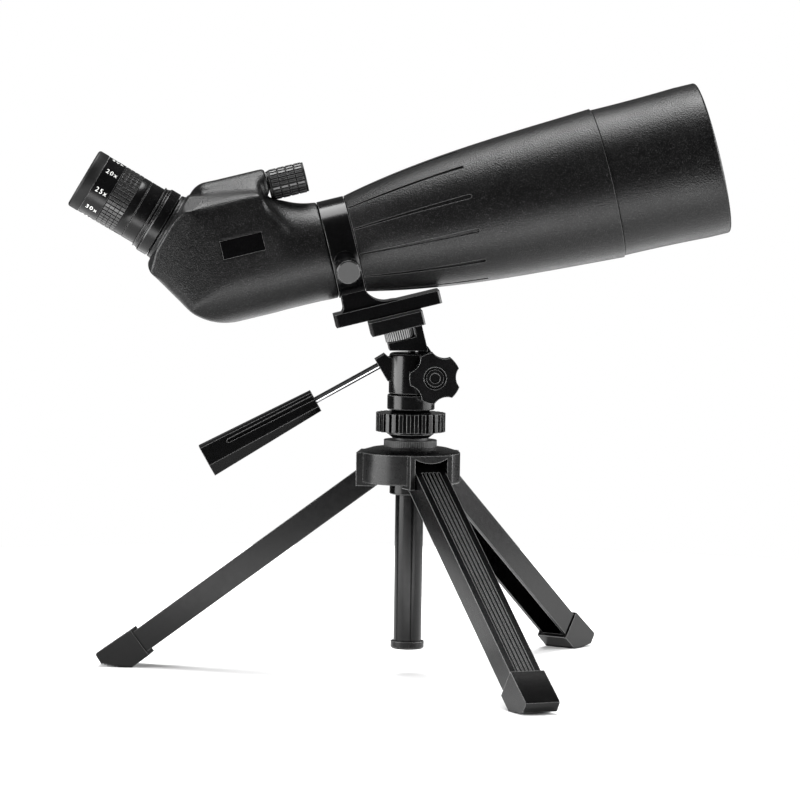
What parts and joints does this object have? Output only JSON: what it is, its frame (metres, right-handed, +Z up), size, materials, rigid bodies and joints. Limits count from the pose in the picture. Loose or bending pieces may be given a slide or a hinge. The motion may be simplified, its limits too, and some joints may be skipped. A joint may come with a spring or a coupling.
{
  "type": "spotting scope",
  "caption": "Angled spotting scope with a zoom eyepiece and extending sunshade, clamped by its collar to a table-top tripod with pan and tilt head.",
  "frame": {"origin": "on the table, at the centre of the whole object's plan", "axes": "+X towards the objective, +Z up, +Y to the left of someone looking through the scope"},
  "size_m": [0.4078, 0.3423, 0.368],
  "materials": {
    "armour": "fine pebble grain, satin",
    "collar_metal": "satin black paint",
    "eyepiece_metal": "semi-gloss black",
    "eyecup_rubber": "satin",
    "knob_plastic": "fine matte",
    "head_plastic": "glossy moulded black",
    "hub_plastic": "satin",
    "leg_plastic": "satin",
    "grip_plastic": "fine matte",
    "foot_rubber": "matte",
    "pad_rubber": "matte",
    "column_metal": "semi-gloss black",
    "steel": "turned",
    "chrome": "bright",
    "silver": "satin, ribbed",
    "inner_metal": "flat black",
    "brass": "turned",
    "coated_glass": "coated optical glass",
    "prism_glass": "polished",
    "felt": "felt",
    "badge": "gloss black, blank"
  },
  "bodies": {
    "tripod": {"tripod_hub": "hub_plastic", "hub_bush": "head_plastic", "collet_ring": "hub_plastic", "column_collet": "knob_plastic", "leg_pins": "steel"},
    "leg_rear": {"leg_rear": "leg_plastic", "foot_rear": "foot_rubber"},
    "leg_right": {"leg_right": "leg_plastic", "foot_right": "foot_rubber"},
    "leg_left": {"leg_left": "leg_plastic", "foot_left": "foot_rubber"},
    "lock_nut": {"column_lock_nut": "head_plastic"},
    "column": {"column_tube": "column_metal", "column_end_cap": "hub_plastic", "pan_base": "head_plastic"},
    "pan_head": {"pan_body": "head_plastic", "handle_bracket": "head_plastic", "tilt_bolt": "steel"},
    "handle": {"handle_rod": "chrome", "handle_grip": "grip_plastic"},
    "star_knob": {"star_knob": "knob_plastic"},
    "tilt_head": {"tilt_stem": "head_plastic", "platform": "knob_plastic", "platform_pad": "pad_rubber", "collar_ring": "collar_metal", "collar_lining": "felt"},
    "thumbwheel": {"screw_thumbwheel": "silver", "quarter_inch_screw": "steel"},
    "collar_knob": {"collar_clamp_knob": "knob_plastic"},
    "scope": {"front_barrel": "armour", "neck_tube": "inner_metal", "prism_housing": "armour", "badge_plate": "badge", "focus_bridge": "armour", "objective_tube": "inner_metal", "objective_cell": "inner_metal", "flint_lens": "coated_glass", "crown_lens": "coated_glass", "objective_retaining_ring": "inner_metal", "prism_cage": "inner_metal", "erecting_prism": "prism_glass", "eyepiece_lock_ring": "eyepiece_metal", "eyepiece_seal_ring": "eyepiece_metal", "eyepiece_barrel": "eyepiece_metal", "eye_lens_cell": "eyepiece_metal", "eye_lens": "coated_glass"},
    "sunshade": {"sunshade": "armour", "sunshade_felt_ring": "felt"},
    "focus_knob": {"focus_knob_core": "knob_plastic", "focus_knob_grip": "eyecup_rubber", "focus_screw": "inner_metal"},
    "focus_carriage": {"focus_carriage": "inner_metal", "focusing_lens": "coated_glass"},
    "zoom_ring": {"zoom_ring": "eyepiece_metal", "zoom_cam_tube": "brass"},
    "zoom_front": {"zoom_front_lens": "coated_glass"},
    "zoom_rear": {"zoom_rear_lens": "coated_glass"},
    "eyecup_sleeve": {"eyecup_sleeve": "inner_metal"},
    "eyecup": {"eyecup": "eyecup_rubber"}
  },
  "joints": [
    {"name": "leg_fold_rear", "type": "hinge", "parent": "tripod", "child": "leg_rear", "pos_m": [-0.01275, 0.01671, 0.12541], "axis": [-0.153, -0.9882, 0], "range_deg": [0, 52.9]},
    {"name": "leg_fold_right", "type": "hinge", "parent": "tripod", "child": "leg_right", "pos_m": [0.01641, -0.00675, 0.12541], "axis": [0.9323, 0.3616, 0], "range_deg": [0, 52.9]},
    {"name": "leg_fold_left", "type": "hinge", "parent": "tripod", "child": "leg_left", "pos_m": [0.02214, 0.03024, 0.12541], "axis": [-0.7793, 0.6266, 0], "range_deg": [0, 52.9]},
    {"name": "column_lift", "type": "slide", "parent": "tripod", "child": "column", "axis": [0, 0, 1], "range_m": [0, 0.085]},
    {"name": "lock_nut_turn", "type": "hinge", "parent": "tripod", "child": "lock_nut", "pos_m": [0.0086, 0.0134, 0.157], "axis": [0, 0, 1], "range_deg": [0, 180]},
    {"name": "pan", "type": "hinge", "parent": "column", "child": "pan_head", "pos_m": [0.0086, 0.0134, 0.187], "axis": [0, 0, 1], "continuous": true},
    {"name": "handle_twist", "type": "hinge", "parent": "pan_head", "child": "handle", "pos_m": [-0.0503, 0.0134, 0.1692], "axis": [-0.8695, 0, -0.4939], "range_deg": [0, 360]},
    {"name": "star_knob_turn", "type": "hinge", "parent": "pan_head", "child": "star_knob", "pos_m": [0.0218, -0.0074, 0.1856], "axis": [0, -1, 0], "range_deg": [0, 720]},
    {"name": "tilt", "type": "hinge", "parent": "pan_head", "child": "tilt_head", "pos_m": [0.0218, 0.0134, 0.1856], "axis": [0, 1, 0], "range_deg": [0, 60]},
    {"name": "thumbwheel_turn", "type": "hinge", "parent": "tilt_head", "child": "thumbwheel", "pos_m": [0.00087, 0.0134, 0.21067], "axis": [-0.247, 0, 0.969], "range_deg": [0, 720]},
    {"name": "collar_knob_turn", "type": "hinge", "parent": "tilt_head", "child": "collar_knob", "pos_m": [-0.03338, -0.03292, 0.25191], "axis": [0.0648, -0.965, -0.2541], "range_deg": [0, 720]},
    {"name": "scope_roll", "type": "hinge", "parent": "tilt_head", "child": "scope", "pos_m": [-0.0361, 0.0134, 0.2642], "axis": [0.969, 0, 0.247], "range_deg": [-135, 135]},
    {"name": "sunshade_slide", "type": "slide", "parent": "scope", "child": "sunshade", "axis": [0.969, 0, 0.247], "range_m": [0, 0.036]},
    {"name": "focus_turn", "type": "hinge", "parent": "scope", "child": "focus_knob", "pos_m": [-0.06908, 0.0134, 0.3045], "axis": [0.969, 0, 0.247], "range_deg": [-540, 540]},
    {"name": "focus_travel", "type": "slide", "parent": "scope", "child": "focus_carriage", "axis": [0.969, 0, 0.247], "range_m": [-0.0048, 0.0048]},
    {"name": "zoom_turn", "type": "hinge", "parent": "scope", "child": "zoom_ring", "pos_m": [-0.17538, 0.0134, 0.29357], "axis": [-0.866, 0, 0.5], "range_deg": [0, 100]},
    {"name": "zoom_front_slide", "type": "slide", "parent": "scope", "child": "zoom_front", "axis": [-0.866, 0, 0.5], "range_m": [-0.0001, 0.0081]},
    {"name": "zoom_rear_slide", "type": "slide", "parent": "scope", "child": "zoom_rear", "axis": [-0.866, 0, 0.5], "range_m": [-0.0051, 0.0001]},
    {"name": "eyecup_twist", "type": "hinge", "parent": "scope", "child": "eyecup_sleeve", "pos_m": [-0.19097, 0.0134, 0.30256], "axis": [-0.866, 0, 0.5], "range_deg": [0, 120]},
    {"name": "eyecup_extend", "type": "slide", "parent": "eyecup_sleeve", "child": "eyecup", "axis": [-0.866, 0, 0.5], "range_m": [-0.0001, 0.0061]}
  ],
  "couplings": [
    {"joint": "focus_travel", "follows": "focus_turn", "m_per_rad": 0.00047746},
    {"joint": "zoom_front_slide", "follows": "zoom_turn", "m_per_rad": 0.0045837},
    {"joint": "zoom_rear_slide", "follows": "zoom_turn", "m_per_rad": -0.0028648},
    {"joint": "eyecup_extend", "follows": "eyecup_twist", "m_per_rad": 0.0028648}
  ]
}
